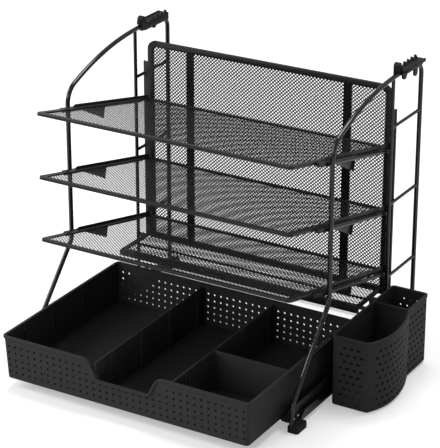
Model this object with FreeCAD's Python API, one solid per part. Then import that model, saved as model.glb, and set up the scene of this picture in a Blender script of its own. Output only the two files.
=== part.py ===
import FreeCAD, Part
import math
import os

V = FreeCAD.Vector

# ---------------------------------------------------------------- driving dimensions (mm)
# The object stands on z = 0. While it is built, x = 0 is the middle between the side frames,
# y = 0 is the front posts' line and +y runs to the rear. The finished pieces are then shifted
# so that the origin lies under the centre of the whole footprint.

frame_spacing = 315.0        # between the centre lines of the two side frames
post_d = 5.0                 # outer bent wire
mid_post_d = 4.0
rung_d = 3.5
tray_rail_d = 4.0
cup_rail_d = 4.0

leg_foot_y = -76.0           # where the front leg stands
leg_bend_z = 28.0            # top of its upright foot
leg_top_z = 113.0            # where it turns into the front post
leg_bend_r = 8.0
leg_top_r = 14.0
arch_top_y = 145.0           # highest point of the arched top run
arch_top_z = 313.5
arch_r = 339.0
knee_r = 22.0
rear_post_y = 199.0
rear_corner_r = 12.0
mid_post_y = 132.0
rung_heights = (88.0, 172.0, 258.0)

foot_w = 12.5
foot_l = 21.0
foot_h = 7.0
foot_corner_r = 2.5
foot_chamfer = 0.8
foot_floor = 2.0             # plastic left under the wire
foot_inner_reach = 4.0       # how far a foot reaches inwards from its wire
foot_front_reach = 3.0       # how far it reaches in front of its wire
foot_stud_d = 4.5            # round stud beside the bar's nose
foot_stud_h = 2.5
foot_stud_y = 14.5           # from the wire's centre line

base_bar_t = 4.0
base_bar_z = 4.5
base_bar_h = 9.5
base_bar_nose_reach = 17.5  # from the front leg to the bar's front end
base_bar_nose_run = 7.0      # slant of its front end

sheet_t = 1.2                # pressed steel of runners, tray borders and shelf
runner_z = 9.8
runner_h = 14.2
runner_ledge = 13.8
runner_front_reach = 2.0     # in front of the front leg
runner_corner_r = 10.0
stop_tab_h = 7.0
stop_tab_w = 8.0

tray_tilt = 13.0             # degrees, low at the rear
tray_first_z = 124.3         # slope line of the lowest tray at the front posts
tray_pitch = 70.3
tray_count = 3
tray_side_gap = 5.5          # from a tray to the posts, where the brackets and rails sit
tray_front = 71.0            # along the slope, from the front posts' line
tray_panel_gap = 2.7         # behind the tray, before the back panel
tray_corner_r = 5.0
tray_side_h = 7.2            # side walls behind the front posts
tray_wall_z = 1.0            # underside of the border's wall
tray_floor_z = 2.4           # underside of the mesh, which is welded under the flange
tray_step_y = -4.0           # where the side wall starts to rise
tray_step_l = 5.0
tray_flange = 6.5
tray_grid_columns = 12       # openings that stand for the mesh's diamonds
tray_grid_rows = 8
tray_grid_bar = 2.4
tray_grid_edge = 8.5         # from the tray's edge to the outermost openings
tray_rail_lift = 0.5         # rail centre above the level of the trays' underside
tray_rail_front = 5.0
tray_rail_tip = 8.0          # pointed end behind the mid post
mesh_t = 0.8
tray_tab_gap = 24.0          # from the tab to the mid post
tray_tab_l = 12.0

bracket_t = 1.5
bracket_front = 20.0
bracket_gap = 4.0            # from the front post's line to the bracket's front block
gusset_front = 14.0
bracket_rear = 61.0
bracket_drop = 0.5
gusset_drop = 12.5
gusset_flange_w = 4.0        # strip turned outwards along the gusset's rear edge

panel_behind_post = 13.0     # from the mid posts to the panel's front face
panel_t = 3.0
panel_side_gap = 7.5         # from the panel's edge to the side wires' centre line
panel_below_shelf = 8.0
panel_top_z = 299.0
panel_border = 7.0
panel_corner_r = 10.0
wing_top_z = 274.0
wing_depth = 3.0
wing_gap = 0.2               # beside the rungs
stiffener_inset = 53.0       # from the panel's side edge to the bar's middle
stiffener_w = 10.0
stiffener_t = 1.5

shelf_clear = 3.5            # between the drawer's rim and the shelf's front flange
shelf_depth = 63.0
shelf_side_gap = 7.5         # from the shelf's edge to the side wires' centre line
shelf_border = 6.0
shelf_flange_h = 6.5
shelf_bead_back = 26.0       # from the shelf's front edge
shelf_bead_w = 4.0
shelf_ear_l = 7.6

comb_ahead = 5.0             # from the arch's highest point to the rail's front end
comb_l = 54.6
comb_wall_t = 2.0
comb_ledge_w = 12.0
comb_roof = 1.0              # plastic left over the wire at the arch's highest point
comb_ledge_t = 2.5
comb_ledge_front = 6.0       # the ledge starts this far behind the end block's front
comb_skirt_h = 8.0
comb_teeth = 4
comb_tooth_pitch = 8.6
comb_tooth_h = 4.5
comb_tooth_w = 2.6
comb_tooth_lean = 0.35       # place of a tooth's tip within its pitch
comb_block_w = 6.5
comb_block_drop = 7.0        # below the ledge's top
comb_block_rise = 8.8        # above it
comb_block_l = 5.0
comb_block_slope = 5.0       # length of the slanted back of the end block
comb_block_r = 3.5
comb_lugs = ((5.3, 10.0, 10.5), (32.5, 8.0, 14.5))  # from the front, length, drop below the ledge
comb_edge_w = 1.5            # raised edge along the ledge's outer side
comb_edge_h = 1.2

drawer_side_gap = 8.0        # from the drawer's top edge to the posts' inner side
drawer_l = 216.5
drawer_h = 48.7
drawer_front_y = -144.0
drawer_wall = 1.8
drawer_floor = 1.8
drawer_draft = 2.0
drawer_corner_r = 4.0
rim_h = 2.6
rim_out = 1.2
drawer_travel_in = 75.0      # from the pose as built to fully shut
running_gap = 0.3            # beside every piece that moves
least_corner_r = 0.5
guide_rib_t = 1.6
guide_rib_h = 4.5

notch_bottom_w = 60.0
notch_top_w = 84.0
notch_depth = 22.0
notch_top_r = 12.0
notch_bottom_r = 7.0
notch_bead = 2.2

divider_t = 2.0
divider_left_x = -34.0
divider_right_x = 55.0
divider_below_rim = 3.5
slot_pitch = 56.0
slot_first = 32.0            # from the drawer's front to its first pair of slot ribs
slot_rib_t = 1.5
slot_rib_out = 2.0
slot_gap = 0.2               # beside a divider, each side
cross_slot = 1               # the pair of ribs that holds the cross divider

cup_side_gap = 7.5           # from the side wires' centre line to the cup
cup_w = 41.3
cup_front_y = -6.0
cup_l = 139.0
cup_rear_l = 45.0            # plain rear compartment behind the bowed wall
cup_bow = 11.7
cup_crest = 39.0             # from the cup's front to where its outer wall is widest
cup_z = 0.8                  # clear of the desk top
cup_wall = 1.8
cup_corner_r = 3.5
cup_bottom_r = 3.0
cup_rim_h = 3.0
cup_rim_out = 0.8
cup_rail_z = 68.0
cup_above_rail = 12.4        # from the rail's centre line to the cup's rim
hook_w = 10.0
hook_t = 2.4
hook_lip = 6.0
hook_at = (21.0, 112.0)      # along the cup, from its front
spacer_z = 6.0
spacer_h = 7.0

# ---------------------------------------------------------------- sizes that follow
half_spacing = frame_spacing / 2
slope = math.radians(tray_tilt)
post_r = post_d / 2
post_inner_x = half_spacing - post_r
bar_inner_x = post_inner_x
bar_outer_x = bar_inner_x + base_bar_t
base_bar_nose_y = leg_foot_y + base_bar_nose_reach
runner_front_y = leg_foot_y - runner_front_reach
panel_y = mid_post_y + panel_behind_post
panel_half_w = half_spacing - panel_side_gap
stiffener_x = panel_half_w - stiffener_inset
tray_half_w = post_inner_x - tray_side_gap
tray_rear = (panel_y - tray_panel_gap) / math.cos(slope)
tray_rail_rear = (mid_post_y + mid_post_d / 2) / math.cos(slope)
tray_tab_y = tray_rail_rear - tray_tab_gap
drawer_w = 2 * (post_inner_x - drawer_side_gap)
drawer_z = runner_z + sheet_t + running_gap
drawer_top_z = drawer_z + drawer_h
shelf_z = drawer_top_z + shelf_clear + shelf_flange_h
shelf_front_y = panel_y - shelf_depth
shelf_half_w = half_spacing - shelf_side_gap
shelf_bead_y = shelf_front_y + shelf_bead_back
panel_bottom_z = shelf_z - panel_below_shelf
comb_front_y = arch_top_y - comb_ahead
comb_ledge_z = arch_top_z + post_r + comb_roof
comb_skirt_z = comb_ledge_z - comb_skirt_h
comb_block_z = comb_ledge_z - comb_block_drop
comb_block_top = comb_ledge_z + comb_block_rise
drawer_rear_y = drawer_front_y + drawer_l
tab_lean = drawer_draft * (1 - stop_tab_h / drawer_h)
runner_stop_y = drawer_rear_y - tab_lean + drawer_travel_in + running_gap
cup_rail_x = half_spacing
cup_left_x = half_spacing + cup_side_gap
cup_h = cup_rail_z + cup_above_rail - cup_z
cup_kink_y = cup_front_y + cup_l - cup_rear_l
left_edge_x = -(post_inner_x - comb_wall_t + comb_ledge_w)
right_edge_x = cup_left_x + cup_w + cup_bow + cup_rim_out
front_edge_y = drawer_front_y - rim_out
rear_edge_y = rear_post_y - foot_front_reach + foot_l
origin = V((left_edge_x + right_edge_x) / 2, (front_edge_y + rear_edge_y) / 2, 0)


# ---------------------------------------------------------------- shared forms
def box(x0, x1, y0, y1, z0, z1):
    return Part.makeBox(x1 - x0, y1 - y0, z1 - z0, V(x0, y0, z0))


def joined(shapes):
    """Shapes that touch or overlap, as one solid with clean faces."""
    whole = shapes[0]
    for shape in shapes[1:]:
        whole = whole.fuse(shape)
    return whole.removeSplitter()


def prism(points, direction):
    """A straight-sided outline given by its corners, pushed along a direction."""
    return Part.Face(Part.makePolygon(points + [points[0]])).extrude(direction)


def mirrored(shape):
    """The same piece on the other side of the middle plane."""
    return shape.mirror(V(0, 0, 0), V(1, 0, 0))


def round_wire(edges, diameter):
    """Round wire bent along a chain of tangent lines and arcs."""
    path = Part.Wire(edges)
    start = edges[0].Vertexes[0].Point
    heading = edges[0].tangentAt(edges[0].FirstParameter)
    section = Part.Wire(Part.makeCircle(diameter / 2, start, heading))
    return path.makePipeShell([section], True, True)


def line(a, b):
    return Part.LineSegment(a, b).toShape()


def bend(before, corner, after, radius):
    """Tangent points and middle point of a bend that rounds a corner."""
    back = (before - corner).normalize()
    ahead = (after - corner).normalize()
    half_angle = back.getAngle(ahead) / 2
    reach = radius / math.tan(half_angle)
    centre = corner + (back + ahead).normalize() * (radius / math.sin(half_angle))
    middle = centre + (corner - centre).normalize() * radius
    return corner + back * reach, middle, corner + ahead * reach


def rounded_rectangle(x0, x1, y0, y1, z, radii):
    """Closed outline in a level plane; radii run front-left, front-right, rear-right, rear-left."""
    corners = [V(x0, y0, z), V(x1, y0, z), V(x1, y1, z), V(x0, y1, z)]
    bends = []
    for i in range(4):
        bends.append(bend(corners[i - 1], corners[i], corners[(i + 1) % 4], radii[i]))
    edges = []
    for i in range(4):
        entry, middle, leave = bends[i]
        edges.append(Part.Arc(entry, middle, leave).toShape())
        edges.append(line(leave, bends[(i + 1) % 4][0]))
    return Part.Wire(edges)


def slab(outline, height):
    return Part.Face(outline).extrude(V(0, 0, height))


# ---------------------------------------------------------------- side frames
def arch_tangent(post_y, radius):
    """Where a bend of this radius leaves an upright post and meets the arched top run."""
    arch_centre = V(0, arch_top_y, arch_top_z - arch_r)
    side = 1 if post_y < arch_top_y else -1
    bend_y = post_y + side * radius
    rise = math.sqrt((arch_r - radius) ** 2 - (bend_y - arch_top_y) ** 2)
    bend_centre = V(0, bend_y, arch_centre.z + rise)
    on_post = V(0, post_y, bend_centre.z)
    outwards = (bend_centre - arch_centre).normalize()
    on_arch = arch_centre + outwards * arch_r
    half_way = ((on_post - bend_centre).normalize() + outwards).normalize()
    return on_post, bend_centre + half_way * radius, on_arch


def side_frame():
    """One wire: upright foot, sloped leg, front post, knee, arched top and rear post."""
    foot = V(0, leg_foot_y, foot_floor)
    low = V(0, leg_foot_y, leg_bend_z)
    high = V(0, 0, leg_top_z)
    knee = arch_tangent(0, knee_r)
    rear = arch_tangent(rear_post_y, rear_corner_r)
    low_bend = bend(foot, low, high, leg_bend_r)
    high_bend = bend(low, high, knee[0], leg_top_r)
    arch_top = V(0, arch_top_y, arch_top_z)
    edges = [
        line(foot, low_bend[0]),
        Part.Arc(*low_bend).toShape(),
        line(low_bend[2], high_bend[0]),
        Part.Arc(*high_bend).toShape(),
        line(high_bend[2], knee[0]),
        Part.Arc(*knee).toShape(),
        Part.Arc(knee[2], arch_top, rear[2]).toShape(),
        Part.Arc(rear[2], rear[1], rear[0]).toShape(),
        line(rear[0], V(0, rear_post_y, foot_floor)),
    ]
    wire = round_wire(edges, post_d)
    wire.translate(V(half_spacing, 0, 0))
    return wire


def base_bar():
    """Flat bar on edge between the two feet, its front end slanted down into the front foot."""
    top = base_bar_z + base_bar_h
    rear = rear_post_y
    outline = [
        V(bar_inner_x, base_bar_nose_y, base_bar_z),
        V(bar_inner_x, rear, base_bar_z),
        V(bar_inner_x, rear, top),
        V(bar_inner_x, base_bar_nose_y + base_bar_nose_run, top),
        V(bar_inner_x, base_bar_nose_y, foot_h),
    ]
    return prism(outline, V(base_bar_t, 0, 0))


def mid_post():
    """Upright wire from the base bar to the underside of the arched top run."""
    foot_z = base_bar_z + base_bar_h
    return Part.makeCylinder(mid_post_d / 2, arch_top_z - foot_z, V(half_spacing, mid_post_y, foot_z))


def side_rungs():
    """Short level rungs between the mid post and the rear post."""
    length = rear_post_y - mid_post_y
    rungs = []
    for height in rung_heights:
        rungs.append(Part.makeCylinder(rung_d / 2, length, V(half_spacing, mid_post_y, height), V(0, 1, 0)))
    return Part.makeCompound(rungs)


def cup_rail():
    """Level rail from the sloped leg to the mid post, which the pen cup hangs on."""
    rise = (leg_top_z - leg_bend_z) / -leg_foot_y
    front_y = leg_foot_y + (cup_rail_z - leg_bend_z) / rise
    length = mid_post_y - front_y
    return Part.makeCylinder(cup_rail_d / 2, length, V(cup_rail_x, front_y, cup_rail_z), V(0, 1, 0))


def foot(wire_y):
    """Moulded pad under the wires; the wires seat in sockets cut by their own shape."""
    x0 = half_spacing - foot_inner_reach
    y0 = wire_y - foot_front_reach
    outline = rounded_rectangle(x0, x0 + foot_w, y0, y0 + foot_l, 0, [foot_corner_r] * 4)
    pad = slab(outline, foot_h)
    upper = [edge for edge in pad.Edges if edge.BoundBox.ZMin > foot_h - 0.01]
    pad = pad.makeChamfer(foot_chamfer, upper)
    stud_x = half_spacing - foot_inner_reach + foot_stud_d / 2
    stud = Part.makeCylinder(foot_stud_d / 2, foot_h / 2 + foot_stud_h,
                             V(stud_x, wire_y + foot_stud_y, foot_h / 2))
    return joined([pad, stud])


def drawer_runner():
    """Pressed angle: a web along the side frame, a ledge that carries the drawer, a rear stop tab."""
    x0 = post_inner_x - runner_ledge
    ledge_top = runner_z + sheet_t
    rear = runner_stop_y + sheet_t
    ledge = box(x0, post_inner_x, runner_front_y, rear, runner_z, ledge_top)
    corner = [edge for edge in ledge.Edges
              if abs(edge.BoundBox.XMax - x0) < 0.01
              and abs(edge.BoundBox.YMax - runner_front_y) < 0.01
              and edge.BoundBox.ZLength > sheet_t / 2]
    ledge = ledge.makeFillet(runner_corner_r, corner)
    web = box(post_inner_x - sheet_t, post_inner_x, runner_front_y, rear, runner_z, runner_z + runner_h)
    tab_x = x0 + stop_tab_w
    tab = box(x0, tab_x, runner_stop_y, rear, runner_z, ledge_top + stop_tab_h)
    return joined([ledge, web, tab])


def rear_cross_wire():
    """Level wire that joins the two rear posts just above the feet."""
    height = foot_h + post_r
    return Part.makeCylinder(post_r, frame_spacing, V(-half_spacing, rear_post_y, height), V(1, 0, 0))


# ---------------------------------------------------------------- trays
# A tray is drawn level, with its underside at z = 0 and y measured along the slope, and is then
# tipped about the front posts' line.
tray_underside = -3.5        # below the slope line that tray_first_z and tray_pitch state
tray_mesh_top = tray_floor_z + mesh_t
tray_rim_z = tray_mesh_top + sheet_t
tray_rail_top = tray_rail_lift + tray_rail_d / 2


def tipped(shape, height):
    placed = shape.copy()
    placed.translate(V(0, 0, tray_underside))
    placed.rotate(V(0, 0, 0), V(1, 0, 0), -tray_tilt)
    placed.translate(V(0, 0, height))
    return placed


def tray_outline(inset, z):
    radius = max(tray_corner_r - inset, least_corner_r)
    return rounded_rectangle(-tray_half_w + inset, tray_half_w - inset, -tray_front + inset, tray_rear - inset,
                             z, [radius] * 4)


def tray_border():
    """Sheet-steel border: low wall with a flange turned in over the mesh, higher behind the posts."""
    wall = slab(tray_outline(0, tray_wall_z), tray_side_h - tray_wall_z)
    wall = wall.cut(slab(tray_outline(sheet_t, 0), tray_side_h + 1))
    flange = slab(tray_outline(sheet_t / 2, tray_mesh_top), sheet_t)
    flange = flange.cut(slab(tray_outline(tray_flange, 0), tray_side_h))
    over = tray_half_w + 1
    step_end = tray_step_y + tray_step_l
    front_cut = [
        V(-over, -tray_front - 1, tray_rim_z),
        V(-over, tray_step_y, tray_rim_z),
        V(-over, step_end, tray_side_h),
        V(-over, step_end, tray_side_h + 1),
        V(-over, -tray_front - 1, tray_side_h + 1),
    ]
    wall = wall.cut(prism(front_cut, V(2 * over, 0, 0)))
    rear_y = tray_rear - sheet_t - 0.01
    wall = wall.cut(box(-tray_half_w + tray_corner_r, tray_half_w - tray_corner_r,
                        rear_y, tray_rear + 1, tray_rim_z, tray_side_h + 1))
    tabs = []
    for side in (-1, 1):
        reach = sorted((side * (tray_half_w - sheet_t), side * (post_inner_x - running_gap)))
        tabs.append(box(reach[0], reach[1], tray_tab_y, tray_tab_y + tray_tab_l,
                        tray_rail_top, tray_rail_top + sheet_t))
    return joined([wall, flange] + tabs)


def tray_mesh():
    """Floor welded under the border's flange; a grid of openings stands for its diamonds."""
    floor = slab(tray_outline(sheet_t, tray_floor_z), mesh_t)
    x0 = -tray_half_w + tray_grid_edge
    y0 = -tray_front + tray_grid_edge
    pitch_x = -2 * x0 / tray_grid_columns
    pitch_y = (tray_rear - tray_grid_edge - y0) / tray_grid_rows
    half_bar = tray_grid_bar / 2
    openings = []
    for column in range(tray_grid_columns):
        for row in range(tray_grid_rows):
            openings.append(box(x0 + column * pitch_x + half_bar, x0 + (column + 1) * pitch_x - half_bar,
                                y0 + row * pitch_y + half_bar, y0 + (row + 1) * pitch_y - half_bar,
                                tray_floor_z - 1, tray_mesh_top + 1))
    return floor.cut(Part.makeCompound(openings))


def tray_rail():
    """Sloped wire on the inner side of the posts, drawn out to a point behind the mid post."""
    x = post_inner_x - tray_rail_d / 2
    length = tray_rail_front + tray_rail_rear
    radius = tray_rail_d / 2
    rod = Part.makeCylinder(radius, length, V(x, -tray_rail_front, tray_rail_lift), V(0, 1, 0))
    tip = Part.makeCone(radius, radius / 4, tray_rail_tip, V(x, tray_rail_rear, tray_rail_lift), V(0, 1, 0))
    return joined([rod, tip])


def tray_bracket():
    """Hook plate beside the tray: front block, wedge gusset with a turned edge, lip over the rail."""
    x0 = tray_half_w
    top = tray_rail_top + sheet_t
    strip_top = tray_rail_top - tray_rail_d - running_gap
    outline = [
        V(x0, -bracket_front, -bracket_drop),
        V(x0, -bracket_gap, -bracket_drop),
        V(x0, -bracket_gap, 0),
        V(x0, gusset_front, 0),
        V(x0, bracket_rear, -gusset_drop),
        V(x0, bracket_rear, top),
        V(x0, -bracket_front, top),
    ]
    plate = prism(outline, V(bracket_t, 0, 0))
    lip = box(x0, post_inner_x - running_gap, -bracket_front, bracket_rear, tray_rail_top, top)
    block = box(x0, post_inner_x - running_gap, -bracket_front, -tray_rail_front - running_gap,
                -bracket_drop, top)
    strip = box(x0, x0 + gusset_flange_w, bracket_rear - bracket_t, bracket_rear, -gusset_drop, strip_top)
    return joined([plate, lip, block, strip])


# ---------------------------------------------------------------- back panel and shelf
def upright(outline_points_radii, y, thickness):
    """Rounded outline given by x and z limits, standing in the plane of the back panel."""
    x0, x1, z0, z1, radii = outline_points_radii
    flat = slab(rounded_rectangle(x0, x1, z0, z1, 0, radii), thickness)
    flat.rotate(V(0, 0, 0), V(1, 0, 0), 90)
    flat.translate(V(0, y + thickness, 0))
    return flat


def panel_frame():
    """Rolled flat border with rounded top corners and wings folded back beside the rungs."""
    low = 2.0
    outer = upright((-panel_half_w, panel_half_w, panel_bottom_z, panel_top_z,
                     [low, low, panel_corner_r, panel_corner_r]), panel_y, panel_t)
    window = panel_window(panel_y - 1, panel_t + 2)
    border = outer.cut(window)
    wing_x = half_spacing - rung_d / 2 - wing_gap
    wings = []
    for side in (-1, 1):
        arm = sorted((side * (panel_half_w - 1), side * wing_x))
        fold = sorted((side * (wing_x - sheet_t), side * wing_x))
        wings.append(box(arm[0], arm[1], panel_y, panel_y + sheet_t, panel_bottom_z + low, wing_top_z))
        wings.append(box(fold[0], fold[1], panel_y, panel_y + wing_depth, panel_bottom_z + low, wing_top_z))
    return joined([border] + wings)


def panel_window(y, thickness):
    inner_w = panel_half_w - panel_border
    radius = panel_corner_r - panel_border + 1
    return upright((-inner_w, inner_w, panel_bottom_z + panel_border, panel_top_z - panel_border,
                    [1.0, 1.0, radius, radius]), y, thickness)


def panel_mesh():
    return panel_window(panel_y + (panel_t - mesh_t) / 2, mesh_t)


def panel_stiffener():
    """Flat upright bar across the back of the panel's border."""
    y0 = panel_y + panel_t
    return box(stiffener_x - stiffener_w / 2, stiffener_x + stiffener_w / 2, y0, y0 + stiffener_t,
               panel_bottom_z + 1, panel_top_z - 1)


def shelf_limits(inset):
    return (-shelf_half_w + inset, shelf_half_w - inset, shelf_front_y + inset, panel_y - inset)


def shelf_frame():
    """Sheet border of the shelf over the drawer bay, with front flange, bead and ears to the mid posts."""
    x0, x1, y0, y1 = shelf_limits(0)
    i0, i1, j0, j1 = shelf_limits(shelf_border)
    z0 = shelf_z - sheet_t
    border = box(x0, x1, y0, y1, z0, shelf_z).cut(box(i0, i1, j0, j1, z0 - 1, shelf_z + 1))
    flange = box(x0, x1, y0, y0 + sheet_t, shelf_z - shelf_flange_h, shelf_z)
    bead = box(i0 - 1, i1 + 1, shelf_bead_y, shelf_bead_y + shelf_bead_w, z0 - mesh_t, z0)
    ends = [box(i0 - 1, i0, shelf_bead_y, shelf_bead_y + shelf_bead_w, z0 - mesh_t, shelf_z),
            box(i1, i1 + 1, shelf_bead_y, shelf_bead_y + shelf_bead_w, z0 - mesh_t, shelf_z)]
    ears = []
    for side in (-1, 1):
        reach = sorted((side * (shelf_half_w - 1), side * half_spacing))
        ears.append(box(reach[0], reach[1], mid_post_y - shelf_ear_l / 2, mid_post_y + shelf_ear_l / 2,
                        z0, shelf_z))
    return joined([border, flange, bead] + ends + ears)


def shelf_mesh():
    i0, i1, j0, j1 = shelf_limits(shelf_border)
    return box(i0, i1, j0, j1, shelf_z - sheet_t, shelf_z - sheet_t + mesh_t)


# ---------------------------------------------------------------- comb rails for hanging folders
def comb_lug(x, y, length, low_z):
    """Tongue with a round end that grips under the wire."""
    radius = length / 2
    tongue = box(x, x + comb_wall_t, y, y + length, low_z + radius, comb_ledge_z - comb_ledge_t / 2)
    tongue = tongue.fuse(Part.makeCylinder(radius, comb_wall_t, V(x, y + radius, low_z + radius), V(1, 0, 0)))
    return tongue


def comb_block(x):
    """End block with a rounded front, slanted down to the teeth at its back."""
    front = comb_front_y
    top = comb_block_top
    crown = front + comb_block_l
    back = crown + comb_block_slope
    nose = bend(V(x, front, comb_block_z), V(x, front, top), V(x, crown, top), comb_block_r)
    edges = [
        line(V(x, front, comb_block_z), nose[0]),
        Part.Arc(*nose).toShape(),
        line(nose[2], V(x, crown, top)),
        line(V(x, crown, top), V(x, back, comb_ledge_z)),
        line(V(x, back, comb_ledge_z), V(x, back, comb_block_z)),
        line(V(x, back, comb_block_z), V(x, front, comb_block_z)),
    ]
    return Part.Face(Part.Wire(edges)).extrude(V(comb_block_w, 0, 0))


def comb_tooth(x, y):
    """Leaning tooth between two folder hooks."""
    low = comb_ledge_z - comb_ledge_t / 2
    outline = [V(x, y, low), V(x, y + comb_tooth_pitch * comb_tooth_lean, comb_ledge_z + comb_tooth_h),
               V(x, y + comb_tooth_pitch * 0.8, comb_ledge_z), V(x, y + comb_tooth_pitch * 0.8, low)]
    return prism(outline, V(comb_tooth_w, 0, 0))


def comb_rail():
    """Moulded clip on the top wire: inner wall with teeth, outer ledge, end block and outer lugs.

    The wire lies in a square channel between the inner wall and the skirt.
    """
    inner_x = post_inner_x - comb_wall_t
    ledge_y = comb_front_y + comb_ledge_front
    rear_y = comb_front_y + comb_l
    outer_wall_x = half_spacing + post_r
    wall = box(inner_x, inner_x + comb_wall_t, ledge_y, rear_y, comb_skirt_z, comb_ledge_z)
    ledge = box(inner_x, inner_x + comb_ledge_w, ledge_y, rear_y, comb_ledge_z - comb_ledge_t, comb_ledge_z)
    corners = [edge for edge in ledge.Edges
               if edge.BoundBox.XMin > inner_x + comb_ledge_w - 0.01
               and edge.BoundBox.ZLength > comb_ledge_t / 2]
    ledge = ledge.makeFillet(comb_wall_t, corners)
    skirt = box(outer_wall_x, outer_wall_x + comb_wall_t, ledge_y, rear_y - comb_wall_t,
                comb_skirt_z + comb_wall_t, comb_ledge_z - comb_ledge_t / 2)
    pieces = [ledge, wall, skirt, comb_block(inner_x)]
    edge_x = inner_x + comb_ledge_w - comb_edge_w
    pieces.append(box(edge_x, edge_x + comb_edge_w, ledge_y + comb_wall_t, rear_y - comb_wall_t,
                      comb_ledge_z - comb_ledge_t / 2, comb_ledge_z + comb_edge_h))
    for offset, length, drop in comb_lugs:
        pieces.append(comb_lug(outer_wall_x, comb_front_y + offset, length, comb_ledge_z - drop))
    first_tooth = rear_y - comb_teeth * comb_tooth_pitch
    for i in range(comb_teeth):
        pieces.append(comb_tooth(inner_x, first_tooth + i * comb_tooth_pitch))
    channel = box(post_inner_x, outer_wall_x, comb_front_y - 1, rear_y + 1,
                  comb_ledge_z - 2 * comb_skirt_h, comb_ledge_z - comb_roof)
    return joined(pieces).cut(channel)


# ---------------------------------------------------------------- drawer
def drawer_limits(level, inset):
    """Plan limits at a share of the height; the walls lean out by the draft."""
    lean = drawer_draft * (1 - level)
    return (-drawer_w / 2 + lean + inset, drawer_w / 2 - lean - inset,
            drawer_front_y + lean + inset, drawer_rear_y - lean - inset)


def drawer_body(z0, z1, inset):
    """Tapered block between two heights, its outline set in by a wall."""
    outlines = []
    for z in (z0, z1):
        limits = drawer_limits((z - drawer_z) / drawer_h, inset)
        outlines.append(rounded_rectangle(*limits, z, [drawer_corner_r - inset] * 4))
    return Part.makeLoft(outlines, True, True)


def notch_block(grow, y0, y1):
    """Finger notch seen from the front: low middle run, smooth S-shaped ends."""
    floor_z = drawer_top_z - notch_depth - grow
    top_z = drawer_top_z
    half_low = notch_bottom_w / 2 + grow
    half_high = notch_top_w / 2 + grow
    over = 20.0
    low_r = notch_bottom_r + grow
    high_r = notch_top_r - grow
    slope_top = V(half_high - (half_high - half_low) * 0.1, y0, top_z)
    right = [V(half_low, y0, floor_z), slope_top]
    low_bend = bend(V(0, y0, floor_z), right[0], right[1], low_r)
    high_bend = bend(right[0], right[1], V(half_high + over, y0, top_z), high_r)
    end = V(half_high + over, y0, top_z)
    half = [line(V(0, y0, floor_z), low_bend[0]), Part.Arc(*low_bend).toShape(), line(low_bend[2], high_bend[0]),
            Part.Arc(*high_bend).toShape(), line(high_bend[2], end), line(end, end + V(0, 0, over)),
            line(end + V(0, 0, over), V(0, y0, top_z + over)), line(V(0, y0, top_z + over), V(0, y0, floor_z))]
    right_half = Part.Face(Part.Wire(half)).extrude(V(0, y1 - y0, 0))
    return right_half.fuse(mirrored(right_half)).removeSplitter()


def slot_positions():
    """Places along the drawer of the rib pairs that hold a cross divider."""
    places = []
    y = drawer_front_y + slot_first
    while y < drawer_rear_y - slot_first / 2:
        places.append(y)
        y += slot_pitch
    return places


def rib_pair(x_face, direction, y, z0, z1):
    """Two upright ribs on a face square to x, with a divider's gap between them."""
    half_gap = divider_t / 2 + slot_gap
    xs = sorted((x_face, x_face + direction * slot_rib_out))
    return [box(xs[0], xs[1], y - half_gap - slot_rib_t, y - half_gap, z0, z1),
            box(xs[0], xs[1], y + half_gap, y + half_gap + slot_rib_t, z0, z1)]


def drawer_box():
    """Moulded box with draft, rolled rim, finger notch, slot ribs inside and glide ribs below."""
    shell = drawer_body(drawer_z, drawer_top_z, 0)
    rim_limits = drawer_limits(1, -rim_out)
    rim = slab(rounded_rectangle(*rim_limits, drawer_top_z - rim_h, [drawer_corner_r + rim_out] * 4), rim_h)
    hollow = drawer_body(drawer_z + drawer_floor, drawer_top_z + 0.01, drawer_wall)
    solid = shell.fuse(rim)
    front = drawer_front_y - rim_out - 1
    rear = drawer_front_y + drawer_draft + drawer_wall + 1
    bead = notch_block(notch_bead, drawer_front_y - rim_out, drawer_front_y + drawer_wall)
    bead = bead.common(box(-drawer_w / 2, drawer_w / 2, front, rear, drawer_z, drawer_top_z))
    solid = solid.fuse(bead)
    ribs = []
    z0 = drawer_z + drawer_floor
    z1 = drawer_top_z - divider_below_rim - rim_h
    inner_x = drawer_w / 2 - drawer_wall
    for y in slot_positions():
        ribs += rib_pair(-inner_x, 1, y, z0, z1)
        ribs += rib_pair(inner_x, -1, y, z0, z1)
    half_gap = divider_t / 2 + slot_gap
    for x in (divider_left_x, divider_right_x):
        for y0, y1 in ((drawer_front_y, drawer_front_y + drawer_draft + drawer_wall + slot_rib_out),
                       (drawer_rear_y - drawer_draft - drawer_wall - slot_rib_out, drawer_rear_y)):
            ribs.append(box(x - half_gap - slot_rib_t, x - half_gap, y0, y1, z0, z1))
            ribs.append(box(x + half_gap, x + half_gap + slot_rib_t, y0, y1, z0, z1))
    solid = solid.cut(hollow)
    inside = drawer_body(drawer_z, drawer_top_z, drawer_wall / 2)
    for rib in ribs:
        solid = solid.fuse(rib.common(inside))
    solid = solid.cut(notch_block(0, front, rear + slot_rib_out + 1))
    ledge_inner = post_inner_x - runner_ledge
    for side in (-1, 1):
        xs = sorted((side * (ledge_inner - running_gap), side * (ledge_inner - running_gap - guide_rib_t)))
        y0 = drawer_front_y + slot_pitch
        solid = solid.fuse(box(xs[0], xs[1], y0, drawer_rear_y - drawer_draft - drawer_corner_r,
                               drawer_z - guide_rib_h, drawer_z + 0.5))
    return solid.removeSplitter()


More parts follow.
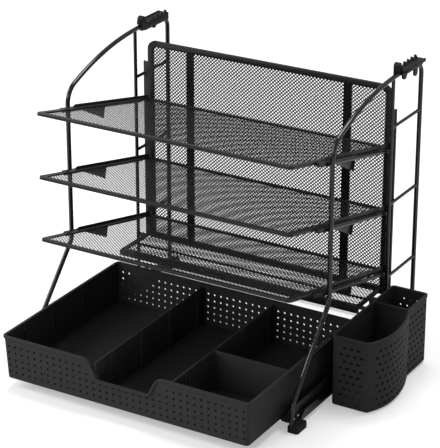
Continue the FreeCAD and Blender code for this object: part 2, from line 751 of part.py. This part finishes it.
def long_divider(x):
    """Front-to-rear divider with slot ribs on both faces."""
    z0 = drawer_z + drawer_floor
    z1 = drawer_top_z - divider_below_rim
    low = drawer_limits((z0 - drawer_z) / drawer_h, drawer_wall + slot_gap)
    high = drawer_limits((z1 - drawer_z) / drawer_h, drawer_wall + slot_gap)
    x0 = x - divider_t / 2
    plate = prism([V(x0, low[2], z0), V(x0, low[3], z0), V(x0, high[3], z1), V(x0, high[2], z1)],
                  V(divider_t, 0, 0))
    ribs = []
    for y in slot_positions():
        ribs += rib_pair(x0, -1, y, z0, z1 - rim_h)
        ribs += rib_pair(x0 + divider_t, 1, y, z0, z1 - rim_h)
    return joined([plate] + ribs)


def cross_divider():
    """Short divider between the right long divider and the drawer's right wall."""
    y = slot_positions()[cross_slot] - divider_t / 2
    z0 = drawer_z + drawer_floor
    z1 = drawer_top_z - divider_below_rim
    x0 = divider_right_x + divider_t / 2 + slot_gap
    low = drawer_limits((z0 - drawer_z) / drawer_h, drawer_wall + slot_gap)
    high = drawer_limits((z1 - drawer_z) / drawer_h, drawer_wall + slot_gap)
    return prism([V(x0, y, z0), V(low[1], y, z0), V(high[1], y, z1), V(x0, y, z1)], V(0, divider_t, 0))


# ---------------------------------------------------------------- pen cup
def bow_arc(start, crest):
    """Middle point of the arc from a point to the crest, where it runs along y."""
    depth = crest.x - start.x
    reach = crest.y - start.y
    radius = (reach * reach + depth * depth) / (2 * depth)
    half_turn = math.asin(reach / radius) / 2
    return V(crest.x - radius + radius * math.cos(half_turn), crest.y - radius * math.sin(half_turn), crest.z)


def cup_outline(inset, z):
    """Plan of the cup: straight rear compartment, outer wall of the front compartment bowed out."""
    x0 = cup_left_x + inset
    x1 = cup_left_x + cup_w - inset
    y0 = cup_front_y + inset
    y1 = cup_front_y + cup_l - inset
    corner = max(cup_corner_r - inset, least_corner_r)
    kink = V(x1, cup_kink_y, z)
    front_right = V(x1, y0, z)
    crest = V(x1 + cup_bow, cup_front_y + cup_crest, z)
    bow_start = bow_arc(front_right, crest) - front_right
    front_left = bend(V(x0, y1, z), V(x0, y0, z), front_right, corner)
    right_bend = bend(V(x0, y0, z), front_right, front_right + bow_start, corner)
    rear_right = bend(kink, V(x1, y1, z), V(x0, y1, z), corner)
    rear_left = bend(V(x1, y1, z), V(x0, y1, z), V(x0, y0, z), corner)
    edges = [
        Part.Arc(*front_left).toShape(),
        line(front_left[2], right_bend[0]),
        Part.Arc(*right_bend).toShape(),
        Part.Arc(right_bend[2], bow_arc(right_bend[2], crest), crest).toShape(),
        Part.Arc(crest, bow_arc(kink, crest), kink).toShape(),
        line(kink, rear_right[0]),
        Part.Arc(*rear_right).toShape(),
        line(rear_right[2], rear_left[0]),
        Part.Arc(*rear_left).toShape(),
        line(rear_left[2], front_left[0]),
    ]
    return Part.Wire(edges)


def pen_cup():
    """Moulded cup with rim band, hooks over its rail and a spacer against the base bar."""
    body = slab(cup_outline(0, cup_z), cup_h)
    bottom = [edge for edge in body.Edges if edge.BoundBox.ZMax < cup_z + 0.01]
    body = body.makeFillet(cup_bottom_r, bottom)
    rim_z = cup_z + cup_h - cup_rim_h
    rim = slab(cup_outline(-cup_rim_out, rim_z), cup_rim_h)
    hollow = slab(cup_outline(cup_wall, cup_z + cup_wall), cup_h)
    cup = body.fuse(rim).cut(hollow)
    rail_top = cup_rail_z + cup_rail_d / 2 + running_gap
    lip_outer = cup_rail_x - cup_rail_d / 2 - running_gap
    for place in hook_at:
        y0 = cup_front_y + place - hook_w / 2
        arm = box(lip_outer - hook_t, cup_left_x + cup_wall / 2, y0, y0 + hook_w, rail_top, rail_top + hook_t)
        lip = box(lip_outer - hook_t, lip_outer, y0, y0 + hook_w, rail_top - hook_lip, rail_top + hook_t)
        spacer = box(bar_outer_x + running_gap, cup_left_x + cup_wall / 2, y0, y0 + hook_w,
                     spacer_z, spacer_z + spacer_h)
        cup = cup.fuse(arm).fuse(lip).fuse(spacer)
    return cup.removeSplitter()


def pen_cup_divider():
    """Upright wall between the two compartments of the cup."""
    z0 = cup_z + cup_wall
    z1 = cup_z + cup_h - 1
    x0 = cup_left_x + cup_wall
    x1 = cup_left_x + cup_w - cup_wall
    return box(x0, x1, cup_kink_y, cup_kink_y + cup_wall, z0, z1)


# ---------------------------------------------------------------- assembly
def both_sides(parts, name, shape):
    parts[name + "_right"] = shape
    parts[name + "_left"] = mirrored(shape)


def frame_parts(parts):
    frame = side_frame()
    bar = base_bar().cut(frame)
    post = mid_post().cut(frame)
    rungs = side_rungs().cut(frame).cut(post)
    both_sides(parts, "side_frame", frame)
    both_sides(parts, "base_bar", bar)
    both_sides(parts, "mid_post", post)
    both_sides(parts, "side_rungs", rungs)
    both_sides(parts, "drawer_runner", drawer_runner())
    both_sides(parts, "front_foot", foot(leg_foot_y).cut(frame).cut(bar))
    both_sides(parts, "rear_foot", foot(rear_post_y).cut(frame).cut(bar))
    parts["cup_rail"] = cup_rail().cut(frame).cut(post)
    cross_wire = rear_cross_wire()
    for wire in (frame, bar):
        cross_wire = cross_wire.cut(wire).cut(mirrored(wire))
    parts["rear_cross_wire"] = cross_wire
    both_sides(parts, "comb_rail", comb_rail())


def tray_parts(parts):
    border = tray_border()
    for number in range(1, tray_count + 1):
        height = tray_first_z + (number - 1) * tray_pitch
        rail = tipped(tray_rail(), height)
        bracket = tipped(tray_bracket(), height)
        parts["tray_border_" + str(number)] = tipped(border, height)
        parts["tray_mesh_" + str(number)] = tipped(tray_mesh(), height)
        for side, name in ((1, "right"), (-1, "left")):
            label = name + "_" + str(number)
            parts["tray_rail_" + label] = rail if side > 0 else mirrored(rail)
            parts["tray_bracket_" + label] = bracket if side > 0 else mirrored(bracket)


def panel_parts(parts):
    post = parts["mid_post_right"]
    parts["panel_frame"] = panel_frame()
    parts["panel_mesh"] = panel_mesh()
    both_sides(parts, "panel_stiffener", panel_stiffener())
    parts["shelf_frame"] = shelf_frame().cut(post).cut(mirrored(post)).cut(parts["cup_rail"])
    parts["shelf_mesh"] = shelf_mesh()


def drawer_parts(parts):
    parts["drawer_box"] = drawer_box()
    parts["drawer_divider_left"] = long_divider(divider_left_x)
    parts["drawer_divider_right"] = long_divider(divider_right_x)
    parts["drawer_cross_divider"] = cross_divider()


def build():
    parts = {}
    frame_parts(parts)
    tray_parts(parts)
    panel_parts(parts)
    drawer_parts(parts)
    parts["pen_cup"] = pen_cup()
    parts["pen_cup_divider"] = pen_cup_divider()
    return parts


os.makedirs("parts", exist_ok=True)
for name, shape in build().items():
    shape.translate(-origin)
    shape.exportStep("parts/" + name + ".step")
    print(name, "solids", len(shape.Solids), "valid", shape.isValid(), "mm3", round(shape.Volume))
print("origin shift", origin)
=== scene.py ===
import bmesh
import bpy
import math
import numpy as np
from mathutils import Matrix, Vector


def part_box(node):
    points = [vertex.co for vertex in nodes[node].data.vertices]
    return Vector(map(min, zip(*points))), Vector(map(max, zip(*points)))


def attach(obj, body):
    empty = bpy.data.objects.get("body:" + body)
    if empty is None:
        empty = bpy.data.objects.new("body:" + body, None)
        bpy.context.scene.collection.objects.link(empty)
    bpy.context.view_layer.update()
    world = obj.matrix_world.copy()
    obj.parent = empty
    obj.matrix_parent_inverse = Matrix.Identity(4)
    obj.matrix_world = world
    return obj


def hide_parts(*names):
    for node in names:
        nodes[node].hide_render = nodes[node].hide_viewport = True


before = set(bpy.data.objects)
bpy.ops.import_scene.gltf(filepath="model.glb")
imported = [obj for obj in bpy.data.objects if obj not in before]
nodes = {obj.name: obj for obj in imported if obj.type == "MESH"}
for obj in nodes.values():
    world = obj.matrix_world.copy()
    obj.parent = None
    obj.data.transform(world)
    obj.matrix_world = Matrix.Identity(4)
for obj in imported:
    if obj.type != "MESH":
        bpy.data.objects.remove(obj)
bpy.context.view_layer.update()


# ---------------------------------------------------------------- wire frame
# Two bent steel wires form the sides. Mid posts, rungs, the cup's rail and a rear cross wire are
# welded to them, and the whole is powder coated black before the feet are pushed on.
class Signal:
    """A shader socket that takes part in Python sums: each operator adds one Math node."""

    def __init__(self, finish, socket):
        self.finish = finish
        self.socket = socket

    def math(self, operation, first, second=0.0):
        return self.finish.node("Math", {"operation": operation}, {0: first, 1: second})

    def __add__(self, other):
        return self.math("ADD", self, other)

    def __sub__(self, other):
        return self.math("SUBTRACT", self, other)

    def __mul__(self, other):
        return self.math("MULTIPLY", self, other)

    def clipped(self):
        return self.finish.node("Clamp", {}, {"Value": self})


class Finish:
    """One material; node() is the only way that nodes are added to it."""

    def __init__(self, name):
        self.material = bpy.data.materials.new(name)
        self.material.use_nodes = True
        self.tree = self.material.node_tree
        self.tree.nodes.clear()
        self.place = self.node("TexCoord", {}, {}, "Object")

    def node(self, kind, settings, inputs, output=0):
        made = self.tree.nodes.new("ShaderNode" + kind)
        for name, value in settings.items():
            setattr(made, name, value)
        for name, value in inputs.items():
            if isinstance(value, Signal):
                self.tree.links.new(value.socket, made.inputs[name])
            else:
                made.inputs[name].default_value = value
        return Signal(self, made.outputs[output]) if made.outputs else None

    def noise(self, grain, detail=2.0, rough=0.5):
        """Noise between 0 and 1 whose features are about one grain, in metres, across."""
        return self.node("TexNoise", {}, {"Vector": self.place, "Scale": 1 / grain,
                                          "Detail": detail, "Roughness": rough}, "Fac")

    def blend(self, share, dark, light):
        """Colour that runs from dark to light as share runs from 0 to 1; 6, 7 and 2 are the
        places of the two colours and of the result on the Mix node."""
        return self.node("Mix", {"data_type": "RGBA"}, {"Factor": share, 6: dark, 7: light}, 2)

    def bump(self, height, depth, strength=1.0):
        return self.node("Bump", {}, {"Height": height, "Distance": depth, "Strength": strength})

    def coat(self, **sockets):
        """Principled surface as the material's output; socket names have _ for spaces."""
        surface = self.node("BsdfPrincipled", {}, {name.replace("_", " "): value
                                                   for name, value in sockets.items()})
        self.node("OutputMaterial", {}, {"Surface": surface})
        return self.material


def shade(level, warm=0.0):
    """Grey of a linear level, a little warmer or cooler."""
    return (level * (1 + warm), level, level * (1 - warm), 1.0)


def powder_coat(name, level, warm, peel_depth, rough, gloss):
    """Satin powder coat: orange peel of about 1 mm, finer grit, and slow changes of gloss."""
    finish = Finish(name)
    peel_grain, grit_grain, cloud_grain = 0.0011, 0.00035, 0.035
    peel = finish.noise(peel_grain, 1.0)
    grit = finish.noise(grit_grain, 2.0, 0.6)
    cloud = finish.noise(cloud_grain, 3.0)
    share = (cloud * 0.7 + grit * 0.5 - 0.1).clipped()
    colour = finish.blend(share, shade(level * 0.8, warm), shade(level * 1.3, warm))
    return finish.coat(
        Base_Color=colour,
        Roughness=cloud * 0.10 + peel * 0.08 + rough,
        Normal=finish.bump(peel * 0.8 + grit * 0.2, peel_depth, 0.6),
        Specular_IOR_Level=gloss,
    )


wire_finish = powder_coat("wire_powder_coat", level=0.004, warm=-0.04, peel_depth=0.00003,
                          rough=0.06, gloss=0.5)


def wear(names, material):
    """The material in place of the CAD nodes' own."""
    for name in names:
        slots = nodes[name].data.materials
        slots.clear()
        slots.append(material)


wear([name for name in nodes if name.startswith(("side_frame", "mid_post", "side_rungs", "base_bar",
                                                 "cup_rail", "rear_cross_wire", "tray_rail"))],
     wire_finish)


# ---------------------------------------------------------------- feet
# Black moulded pads pushed on under the wires, softer and duller than the coated steel.
def moulding(name, level, warm, grain, rough):
    """Moulded plastic with the tool's fine spark texture and faint flow marks."""
    finish = Finish(name)
    flow_grain, spark_depth = 0.06, 0.00005
    spark = finish.noise(grain, 2.0, 0.65)
    flow = finish.noise(flow_grain, 3.0, 0.55)
    share = (flow * 0.8 + spark * 0.4 - 0.1).clipped()
    colour = finish.blend(share, shade(level * 0.85, warm), shade(level * 1.2, warm))
    return finish.coat(
        Base_Color=colour,
        Roughness=flow * 0.12 + spark * 0.10 + rough,
        Normal=finish.bump(spark, spark_depth, 0.6),
        Specular_IOR_Level=0.1,
    )


foot_finish = moulding("foot_plastic_grain", level=0.012, warm=0.0, grain=0.0006, rough=0.45)


def eased(node, edge, material, body="frame"):
    """Copy of a CAD node, its triangles joined into whole faces and its edges rounded."""
    mesh = nodes[node].data.copy()
    solid = bmesh.new()
    solid.from_mesh(mesh)
    bmesh.ops.remove_doubles(solid, verts=solid.verts, dist=2e-6)
    bmesh.ops.dissolve_limit(solid, angle_limit=math.radians(0.6), verts=solid.verts,
                             edges=solid.edges)
    solid.to_mesh(mesh)
    solid.free()
    piece = bpy.data.objects.new(node + "_eased", mesh)
    bpy.context.scene.collection.objects.link(piece)
    bevel = piece.modifiers.new("edges", "BEVEL")
    bevel.width = edge
    bevel.segments = 2
    bevel.limit_method = "ANGLE"
    bevel.angle_limit = math.radians(32)
    bevel.miter_outer = "MITER_ARC"
    bevel.harden_normals = True
    mesh.shade_smooth()
    mesh.materials.clear()
    mesh.materials.append(material)
    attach(piece, body)
    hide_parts(node)
    return piece


foot_edge = 0.0004
for place in ("front_foot_left", "front_foot_right", "rear_foot_left", "rear_foot_right"):
    eased(place, foot_edge, foot_finish)


# ---------------------------------------------------------------- runners
# Pressed steel angles screwed inside the base bars; the drawer slides on their ledges.
sheet_finish = powder_coat("sheet_powder_coat", level=0.011, warm=0.02, peel_depth=0.00005,
                           rough=0.26, gloss=0.25)
sheet_edge = 0.0003
for place in ("drawer_runner_left", "drawer_runner_right"):
    eased(place, sheet_edge, sheet_finish)


# ---------------------------------------------------------------- back panel
# A rolled border holds a sheet of flattened expanded metal; two flat bars stiffen its back.
def expanded_metal(name, width, length, pitch, strand, thickness, tilt, place):
    """Straight strands that cross and leave diamond openings, each one closed bar. A strand of
    either lean starts at every pitch along the near edge, and past its ends, and is cut where its
    middle line meets the outline; its flat section is rolled by the tilt, which opens the sheet
    like a louvre. place() takes flat x, y and height to the piece's surface."""
    rise = pitch[1] / pitch[0]
    first, last = -math.ceil(length / rise / pitch[0]), math.ceil(width / pitch[0])
    start = np.arange(first, last + 1) * pitch[0]
    near = np.clip(-start * rise, 0, length)
    far = np.clip((width - start) * rise, 0, length)
    start, near, far = (part[far - near > strand] for part in (start, near, far))
    lean = np.repeat([1.0, -1.0], start.size)
    start, near, far = (np.tile(part, 2) for part in (start, near, far))
    ends = np.stack([np.stack([lean * (start + y / rise - width / 2), y, 0 * y], -1)
                     for y in (near, far)], 1)
    unit = 1 / math.hypot(1, rise)
    side = np.stack([np.full_like(lean, -rise * unit), lean * unit, 0 * lean], -1)
    up = np.array([0.0, 0.0, 1.0])
    wide = (side * math.cos(tilt) + up * np.sin(tilt * lean)[:, None]) * strand / 2
    deep = (up * math.cos(tilt) - side * np.sin(tilt * lean)[:, None]) * thickness / 2
    section = np.stack([wide + deep, deep - wide, -wide - deep, wide - deep], 1)
    points = (ends[:, :, None] + section[:, None]).reshape(-1, 3)
    corner = np.arange(lean.size)[:, None, None] * 8
    faces = corner + np.array([(0, 1, 5, 4), (1, 2, 6, 5), (2, 3, 7, 6), (3, 0, 4, 7),
                               (3, 2, 1, 0), (4, 5, 6, 7)])
    mesh = bpy.data.meshes.new(name)
    mesh.from_pydata(place(*points.T), [], faces.reshape(-1, 4))
    piece = bpy.data.objects.new(name, mesh)
    bpy.context.scene.collection.objects.link(piece)
    mesh.materials.append(sheet_finish)
    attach(piece, "frame")
    return piece


panel_low, panel_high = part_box("panel_mesh")
panel_y = (panel_low.y + panel_high.y) / 2
panel_tuck = 0.001
panel_edge = 0.0005
panel_mesh = expanded_metal(
    "panel_expanded_mesh", panel_high.x - panel_low.x + 2 * panel_tuck,
    panel_high.z - panel_low.z + 2 * panel_tuck, pitch=(0.0042, 0.0040), strand=0.0012,
    thickness=0.0004, tilt=0.35,
    place=lambda x, y, height: np.stack([x + (panel_low.x + panel_high.x) / 2, panel_y - height,
                                         y + panel_low.z - panel_tuck], -1))
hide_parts("panel_mesh")
for place in ("panel_frame", "panel_stiffener_left", "panel_stiffener_right"):
    eased(place, panel_edge, sheet_finish)


# ---------------------------------------------------------------- shelf over the drawer bay
# A pressed border with the same expanded metal, hooked on the mid posts and the panel.
shelf_low, shelf_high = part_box("shelf_mesh")
shelf_z = (shelf_low.z + shelf_high.z) / 2
shelf_tuck = 0.001
shelf_mesh = expanded_metal(
    "shelf_expanded_mesh", shelf_high.x - shelf_low.x + 2 * shelf_tuck,
    shelf_high.y - shelf_low.y + 2 * shelf_tuck, pitch=(0.0047, 0.0046), strand=0.0011,
    thickness=0.0003, tilt=-0.2,
    place=lambda x, y, height: np.stack([x + (shelf_low.x + shelf_high.x) / 2,
                                         y + shelf_low.y - shelf_tuck, height + shelf_z], -1))
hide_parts("shelf_mesh")
eased("shelf_frame", sheet_edge, sheet_finish)


# ---------------------------------------------------------------- trays
# Three sloped trays: a pressed border with a low lip in front, an expanded-metal floor lying on
# its flange, hook plates and rods along both sides that hang on the posts.
tray_slope = math.radians(13.0)
tray_sheet = 0.0008
tray_edge = 0.0012
for number in ("1", "2", "3"):
    low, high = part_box("tray_mesh_" + number)
    front_y = low.y + tray_sheet / 2 * math.sin(tray_slope)
    front_z = high.z - tray_sheet / 2 * math.cos(tray_slope)
    run = (high.y - low.y - tray_sheet * math.sin(tray_slope)) / math.cos(tray_slope)
    middle_x = (high.x + low.x) / 2

    def on_slope(x, y, height):
        """Flat floor tipped about its front edge."""
        y = y + tray_edge
        return np.stack([x + middle_x,
                         front_y + y * math.cos(tray_slope) + height * math.sin(tray_slope),
                         front_z - y * math.sin(tray_slope) + height * math.cos(tray_slope)], -1)

    floor = expanded_metal("tray_expanded_mesh_" + number, high.x - low.x - 2 * tray_edge,
                           run - 2 * tray_edge, pitch=(0.0047, 0.0046), strand=0.0012,
                           thickness=0.00025, tilt=-0.21, place=on_slope)
    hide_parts("tray_mesh_" + number)
    eased("tray_border_" + number, sheet_edge, sheet_finish)
    for side in ("left_", "right_"):
        eased("tray_bracket_" + side + number, sheet_edge, sheet_finish)


# ---------------------------------------------------------------- comb rails
# Moulded clips pressed over the arched top wires; their teeth keep folder hooks apart.
comb_finish = moulding("comb_plastic_grain", level=0.012, warm=0.0, grain=0.0005, rough=0.36)
plastic_edge = 0.0005
for place in ("comb_rail_left", "comb_rail_right"):
    eased(place, plastic_edge, comb_finish)


# ---------------------------------------------------------------- drawer
# A moulded box with a rolled rim, a finger notch and rows of small round holes through its front
# and rear walls. It slides on the runners' ledges.
def punches(name, centre, axis, side, reach, half_w, half_h, sides=12):
    """Closed prisms, one per hole: an ellipse spanned by side and by axis x side, carried along
    the axis by reach to both sides of the centre."""
    up = np.cross(axis, side)
    turn = np.linspace(0, 2 * np.pi, sides, endpoint=False)
    ring = (centre[:, None] + half_w * np.cos(turn)[None, :, None] * side[:, None]
            + half_h * np.sin(turn)[None, :, None] * up[:, None])
    along = axis[:, None] * reach
    points = np.stack([ring - along, ring + along], 1).reshape(-1, 3)
    first = np.arange(len(centre))[:, None] * 2 * sides
    around = np.arange(sides)
    beside = np.roll(around, -1)
    wall = np.stack([around, beside, beside + sides, around + sides], -1)
    walls = (first[:, None, :] + wall[None]).reshape(-1, 4)
    caps = np.concatenate([first + around[::-1], first + sides + around])
    mesh = bpy.data.meshes.new(name)
    mesh.from_pydata(points, [], walls.tolist() + caps.tolist())
    tool = bpy.data.objects.new(name, mesh)
    bpy.context.scene.collection.objects.link(tool)
    return tool


def punched(piece, tools):
    """Holes cut through the piece and its edges shaded by area."""
    for tool in tools:
        cut = piece.modifiers.new(tool.name, "BOOLEAN")
        cut.operation = "DIFFERENCE"
        cut.solver = "EXACT"
        cut.object = tool
    bpy.context.view_layer.update()
    graph = bpy.context.evaluated_depsgraph_get()
    mesh = bpy.data.meshes.new_from_object(piece.evaluated_get(graph))
    piece.modifiers.clear()
    piece.data = mesh
    mesh.shade_smooth()
    mesh.set_sharp_from_angle(angle=math.radians(40))
    weigh = piece.modifiers.new("shading", "WEIGHTED_NORMAL")
    weigh.keep_sharp = True
    for tool in tools:
        bpy.data.objects.remove(tool)


drawer_finish = moulding("drawer_plastic_grain", level=0.024, warm=0.0, grain=0.0005, rough=0.42)
drawer_low, drawer_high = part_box("drawer_box")
drawer_x = (drawer_low.x + drawer_high.x) / 2
hole_columns, hole_pitch, first_hole_x = 36, 0.00803, -0.1403
hole_radius, hole_reach, wall_middle = 0.0014, 0.005, 0.003
rear_narrowing = 0.99
column_x = np.arange(hole_columns) * hole_pitch + first_hole_x
row_drop = np.array([0.0109, 0.0184, 0.0260, 0.0334, 0.0409])
notch_half = np.array([0.047, 0.041, 0.0, 0.0, 0.0])
hole_x, hole_drop = np.meshgrid(column_x, row_drop)
clear = np.abs(hole_x) > notch_half[:, None]
drawer_box = eased("drawer_box", plastic_edge, drawer_finish, "drawer")


def drawer_holes(name, y, narrowing, kept):
    """One punch for each kept place of the hole grid, on the wall at y."""
    centre = np.stack([hole_x[kept] * narrowing + drawer_x, np.full(kept.sum(), y),
                       drawer_high.z - hole_drop[kept]], -1)
    axis = np.tile([0.0, 1.0, 0.0], (len(centre), 1))
    side = np.tile([1.0, 0.0, 0.0], (len(centre), 1))
    return punches(name, centre, axis, side, hole_reach, hole_radius, hole_radius)


punched(drawer_box, [
    drawer_holes("front_holes", drawer_low.y + wall_middle, 1.0, clear),
    drawer_holes("rear_holes", drawer_high.y - wall_middle, rear_narrowing, np.ones_like(clear))])
divider_edge = 0.0003
for node, body in (("drawer_divider_left", "divider_left"),
                   ("drawer_divider_right", "divider_right"),
                   ("drawer_cross_divider", "divider_cross")):
    eased(node, divider_edge, drawer_finish, body)


# ---------------------------------------------------------------- pen cup
# A moulded cup with a bowed outer wall, hooked over the rail; slanted slots pierce its walls.
cup_finish = moulding("cup_plastic_grain", level=0.019, warm=-0.02, grain=0.0005, rough=0.42)
cup_low, cup_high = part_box("pen_cup")
cup_side_x = cup_high.x - 0.0125
cup_front_y = cup_low.y + 0.0008
pen_cup = eased("pen_cup", plastic_edge, cup_finish, "pen_cup")


def cup_wall(run):
    """Point and outward direction at a distance along the outer wall from its front corner: two
    arcs that meet at the crest, then the straight rear wall."""
    front_r, rear_r, crest_out = 0.07085, 0.1351, 0.0117
    front_part, rear_part, bow_part = 0.039, 0.055, 0.094
    front_turn, rear_turn = math.asin(front_part / front_r), math.asin(rear_part / rear_r)
    front_run, rear_run = front_r * front_turn, rear_r * rear_turn
    crest_x, crest_y = cup_side_x + crest_out, cup_front_y + front_part
    turn = np.where(run < front_run, run / front_r - front_turn, (run - front_run) / rear_r)
    radius = np.where(run < front_run, front_r, rear_r)
    turn = np.where(run < front_run + rear_run, turn, 0.0)
    past = np.maximum(run - front_run - rear_run, 0)
    straight = run > front_run + rear_run
    x = np.where(straight, cup_side_x, crest_x - radius + radius * np.cos(turn))
    y = np.where(straight, cup_front_y + bow_part + past, crest_y + radius * np.sin(turn))
    return x, y, np.cos(turn), np.sin(turn)


slot_rows = np.arange(9)
first_slot_z, slot_row_pitch = 0.0071, 0.0077
slot_z = first_slot_z + slot_row_pitch * slot_rows
slot_reach, slot_slant, slot_sides = 0.0035, 0.12, 10


def cup_slots(name, x, y, z, out_x, out_y, half_w, half_h):
    """Slanted slots through the wall at x, y and z, where (out_x, out_y) points outward."""
    centre = np.stack([x, y, z], -1)
    axis = np.stack([out_x, out_y, 0 * out_x], -1)
    side = np.stack([-out_y, out_x, slot_slant + 0 * out_x], -1)
    return punches(name, centre, axis, side, slot_reach, half_w, half_h, slot_sides)


row, column = (grid.ravel() for grid in np.meshgrid(slot_rows, np.arange(4), indexing="ij"))
even_row_x, odd_row_x, flat_pitch = 0.0142, 0.0103, 0.0078
flat_x = np.where(row % 2 == 0, even_row_x, odd_row_x) + flat_pitch * column
kept = (row % 2 == 1) | (column < 3)
side_left_x = cup_side_x - 0.0413
cup_run = 0.139
flat_x, flat_z = flat_x[kept], slot_z[row[kept]]
still = 0 * flat_x
front_slots = cup_slots("cup_front_slots", side_left_x + flat_x, still + cup_front_y, flat_z,
                        still, still - 1, half_w=0.0024, half_h=0.0017)
rear_slots = cup_slots("cup_rear_slots", side_left_x + flat_x, still + cup_front_y + cup_run,
                       flat_z, still, still + 1, half_w=0.0012, half_h=0.0012)
row, column = (grid.ravel() for grid in np.meshgrid(slot_rows, np.arange(16), indexing="ij"))
even_row_run, odd_row_run, bow_pitch = 0.0154, 0.0115, 0.008
run = np.where(row % 2 == 0, even_row_run, odd_row_run) + bow_pitch * column
wall_x, wall_y, out_x, out_y = cup_wall(run)
bow_slots = cup_slots("cup_bow_slots", wall_x, wall_y, slot_z[row], out_x, out_y,
                      half_w=0.0022, half_h=0.0015)
punched(pen_cup, [front_slots, rear_slots, bow_slots])
eased("pen_cup_divider", divider_edge, cup_finish, "pen_cup")


# ---------------------------------------------------------------- studio
# Pale floor, a soft light above, a weaker one in front, a narrow one at the left whose line runs
# along the wires, and an even sky.
floor_size, floor_z = 8.0, -0.0003
floor_mesh = bpy.data.meshes.new("studio_floor")
floor_mesh.from_pydata([(-floor_size, -floor_size, floor_z), (floor_size, -floor_size, floor_z),
                        (floor_size, floor_size, floor_z), (-floor_size, floor_size, floor_z)],
                       [], [(0, 1, 2, 3)])
floor = bpy.data.objects.new("studio_floor", floor_mesh)
bpy.context.scene.collection.objects.link(floor)
paper = Finish("floor_paper")
rays = paper.node("LightPath", {}, {}, "Is Camera Ray")
white = paper.node("BsdfDiffuse", {}, {"Color": (0.66, 0.66, 0.66, 1)})
glow = paper.node("Emission", {}, {"Color": (1, 1, 1, 1), "Strength": rays * 0.35})
both = paper.node("AddShader", {}, {0: white, 1: glow})
paper.node("OutputMaterial", {}, {"Surface": both})
floor_mesh.materials.append(paper.material)

world = bpy.data.worlds.new("studio_sky")
bpy.context.scene.world = world
world.use_nodes = True
world.node_tree.nodes["Background"].inputs["Color"].default_value = (1, 1, 1, 1)
world.node_tree.nodes["Background"].inputs["Strength"].default_value = 0.5


def softbox(name, place, target, size, watts):
    """Rectangular area light at place, turned to shine on target."""
    lamp = bpy.data.lights.new(name, "AREA")
    lamp.shape = "RECTANGLE"
    lamp.size, lamp.size_y = size
    lamp.energy = watts
    light = bpy.data.objects.new(name, lamp)
    bpy.context.scene.collection.objects.link(light)
    light.location = place
    away = light.location - type(light.location)(target)
    light.rotation_euler = away.to_track_quat("Z", "Y").to_euler()


softbox("front_softbox", place=(-0.3, -2.2, 1.2), target=(0, 0, 0.1), size=(0.8, 0.8), watts=13)
softbox("strip_softbox", place=(-1.5, -0.9, 1.1), target=(0, 0, 0.15), size=(0.3, 1.4), watts=24)
softbox("top_softbox", place=(0.0, 0.5, 2.4), target=(0, 0, 0.1), size=(1.6, 1.0), watts=42)

lens = bpy.data.cameras.new("front_right_camera")
camera = bpy.data.objects.new("front_right_camera", lens)
bpy.context.scene.collection.objects.link(camera)
camera.location = (0.9757, -1.6824, 0.9917)
camera.rotation_euler = (math.radians(90 - 23.23), 0, math.radians(30.68))
lens.sensor_width = 36
lens.lens = 162.44
lens.shift_x = 0.0062
lens.clip_end = 50
bpy.context.scene.camera = camera
bpy.context.scene.view_settings.view_transform = "Standard"
